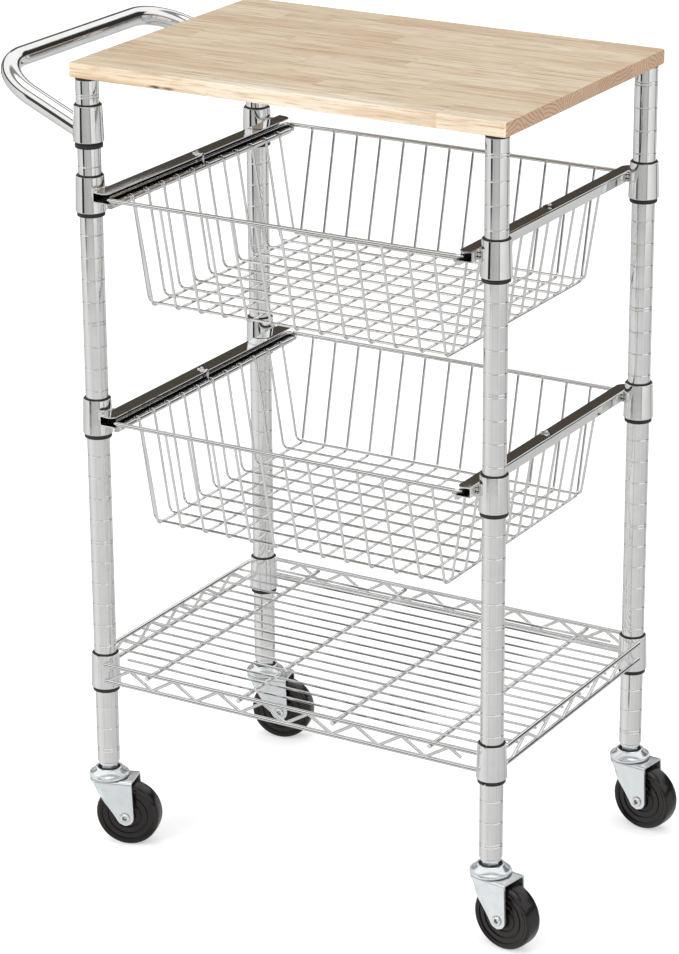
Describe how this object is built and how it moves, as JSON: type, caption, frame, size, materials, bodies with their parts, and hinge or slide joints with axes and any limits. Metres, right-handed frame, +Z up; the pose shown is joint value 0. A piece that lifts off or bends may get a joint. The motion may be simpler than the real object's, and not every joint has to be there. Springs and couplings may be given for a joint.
{
  "type": "kitchen island cart",
  "caption": "Rolling kitchen island cart with a butcher-block top, a push handle, pull-out wire baskets on side rails, a wire bottom shelf and swivel casters.",
  "frame": {"origin": "centre of the cart's outline seen from above, on the floor", "axes": "+Z up; +X along the long side, away from the push handle; the baskets pull out towards -Y"},
  "size_m": [0.698, 0.393, 0.9183],
  "materials": {
    "post_chrome": "bright chrome plate on steel tube",
    "rail_chrome": "bright chrome plate on folded sheet steel",
    "wire_chrome": "chrome plate on welded steel wire",
    "board_wood": "pale finger-jointed hardwood staves, satin clear coat",
    "black_plastic": "black moulded plastic",
    "zinc_steel": "clear zinc plate on pressed steel, satin",
    "wheel_rubber": "black hard rubber with fine moulded rings"
  },
  "bodies": {
    "frame": {"post_front_left": "post_chrome", "post_front_right": "post_chrome", "post_back_right": "post_chrome", "post_back_left": "post_chrome", "post_cap_front_left": "black_plastic", "post_cap_front_right": "black_plastic", "post_cap_back_right": "black_plastic", "post_cap_back_left": "black_plastic", "butcher_block_top": "board_wood", "sleeve_shelf_front_left": "black_plastic", "sleeve_shelf_front_right": "black_plastic", "sleeve_shelf_back_right": "black_plastic", "sleeve_shelf_back_left": "black_plastic", "sleeve_lower_rail_front_left": "black_plastic", "sleeve_lower_rail_front_right": "black_plastic", "sleeve_lower_rail_back_right": "black_plastic", "sleeve_lower_rail_back_left": "black_plastic", "sleeve_upper_rail_front_left": "black_plastic", "sleeve_upper_rail_front_right": "black_plastic", "sleeve_upper_rail_back_right": "black_plastic", "sleeve_upper_rail_back_left": "black_plastic", "sleeve_handle_front": "black_plastic", "sleeve_handle_back": "black_plastic", "push_handle": "post_chrome", "rail_upper_left": "rail_chrome", "rail_upper_right": "rail_chrome", "rail_lower_left": "rail_chrome", "rail_lower_right": "rail_chrome", "shelf_front_truss": "wire_chrome", "shelf_back_truss": "wire_chrome", "shelf_right_truss": "wire_chrome", "shelf_left_truss": "wire_chrome", "shelf_deck": "wire_chrome", "caster_race_front_left": "zinc_steel", "caster_race_front_right": "zinc_steel", "caster_race_back_right": "zinc_steel", "caster_race_back_left": "zinc_steel"},
    "upper_basket": {"basket_upper_front_wall": "wire_chrome", "basket_upper_back_wall": "wire_chrome", "basket_upper_right_wall": "wire_chrome", "basket_upper_left_wall": "wire_chrome", "basket_upper_floor": "wire_chrome"},
    "lower_basket": {"basket_lower_front_wall": "wire_chrome", "basket_lower_back_wall": "wire_chrome", "basket_lower_right_wall": "wire_chrome", "basket_lower_left_wall": "wire_chrome", "basket_lower_floor": "wire_chrome"},
    "swivel_front_left": {"caster_fork_front_left": "zinc_steel", "caster_axle_front_left": "zinc_steel"},
    "wheel_front_left": {"caster_wheel_front_left": "wheel_rubber"},
    "swivel_front_right": {"caster_fork_front_right": "zinc_steel", "caster_axle_front_right": "zinc_steel"},
    "wheel_front_right": {"caster_wheel_front_right": "wheel_rubber"},
    "swivel_back_right": {"caster_fork_back_right": "zinc_steel", "caster_axle_back_right": "zinc_steel"},
    "wheel_back_right": {"caster_wheel_back_right": "wheel_rubber"},
    "swivel_back_left": {"caster_fork_back_left": "zinc_steel", "caster_axle_back_left": "zinc_steel"},
    "wheel_back_left": {"caster_wheel_back_left": "wheel_rubber"}
  },
  "joints": [
    {"name": "upper_basket_slide", "type": "slide", "parent": "frame", "child": "upper_basket", "axis": [0, -1, 0], "range_m": [0, 0.17]},
    {"name": "lower_basket_slide", "type": "slide", "parent": "frame", "child": "lower_basket", "axis": [0, -1, 0], "range_m": [0, 0.17]},
    {"name": "swivel_front_left_turn", "type": "hinge", "parent": "frame", "child": "swivel_front_left", "pos_m": [-0.20899, -0.17149, 0.09], "axis": [0, 0, 1], "continuous": true},
    {"name": "wheel_front_left_spin", "type": "hinge", "parent": "swivel_front_left", "child": "wheel_front_left", "pos_m": [-0.187, -0.16477, 0.0375], "axis": [-0.2924, 0.9563, 0], "continuous": true},
    {"name": "swivel_front_right_turn", "type": "hinge", "parent": "frame", "child": "swivel_front_right", "pos_m": [0.28801, -0.17149, 0.09], "axis": [0, 0, 1], "continuous": true},
    {"name": "wheel_front_right_spin", "type": "hinge", "parent": "swivel_front_right", "child": "wheel_front_right", "pos_m": [0.31072, -0.17509, 0.0375], "axis": [0.1564, 0.9877, 0], "continuous": true},
    {"name": "swivel_back_right_turn", "type": "hinge", "parent": "frame", "child": "swivel_back_right", "pos_m": [0.28801, 0.16951, 0.09], "axis": [0, 0, 1], "continuous": true},
    {"name": "wheel_back_right_spin", "type": "hinge", "parent": "swivel_back_right", "child": "wheel_back_right", "pos_m": [0.31084, 0.1667, 0.0375], "axis": [0.1219, 0.9925, 0], "continuous": true},
    {"name": "swivel_back_left_turn", "type": "hinge", "parent": "frame", "child": "swivel_back_left", "pos_m": [-0.20899, 0.16951, 0.09], "axis": [0, 0, 1], "continuous": true},
    {"name": "wheel_back_left_spin", "type": "hinge", "parent": "swivel_back_left", "child": "wheel_back_left", "pos_m": [-0.18668, 0.17507, 0.0375], "axis": [-0.2419, 0.9703, 0], "continuous": true}
  ]
}
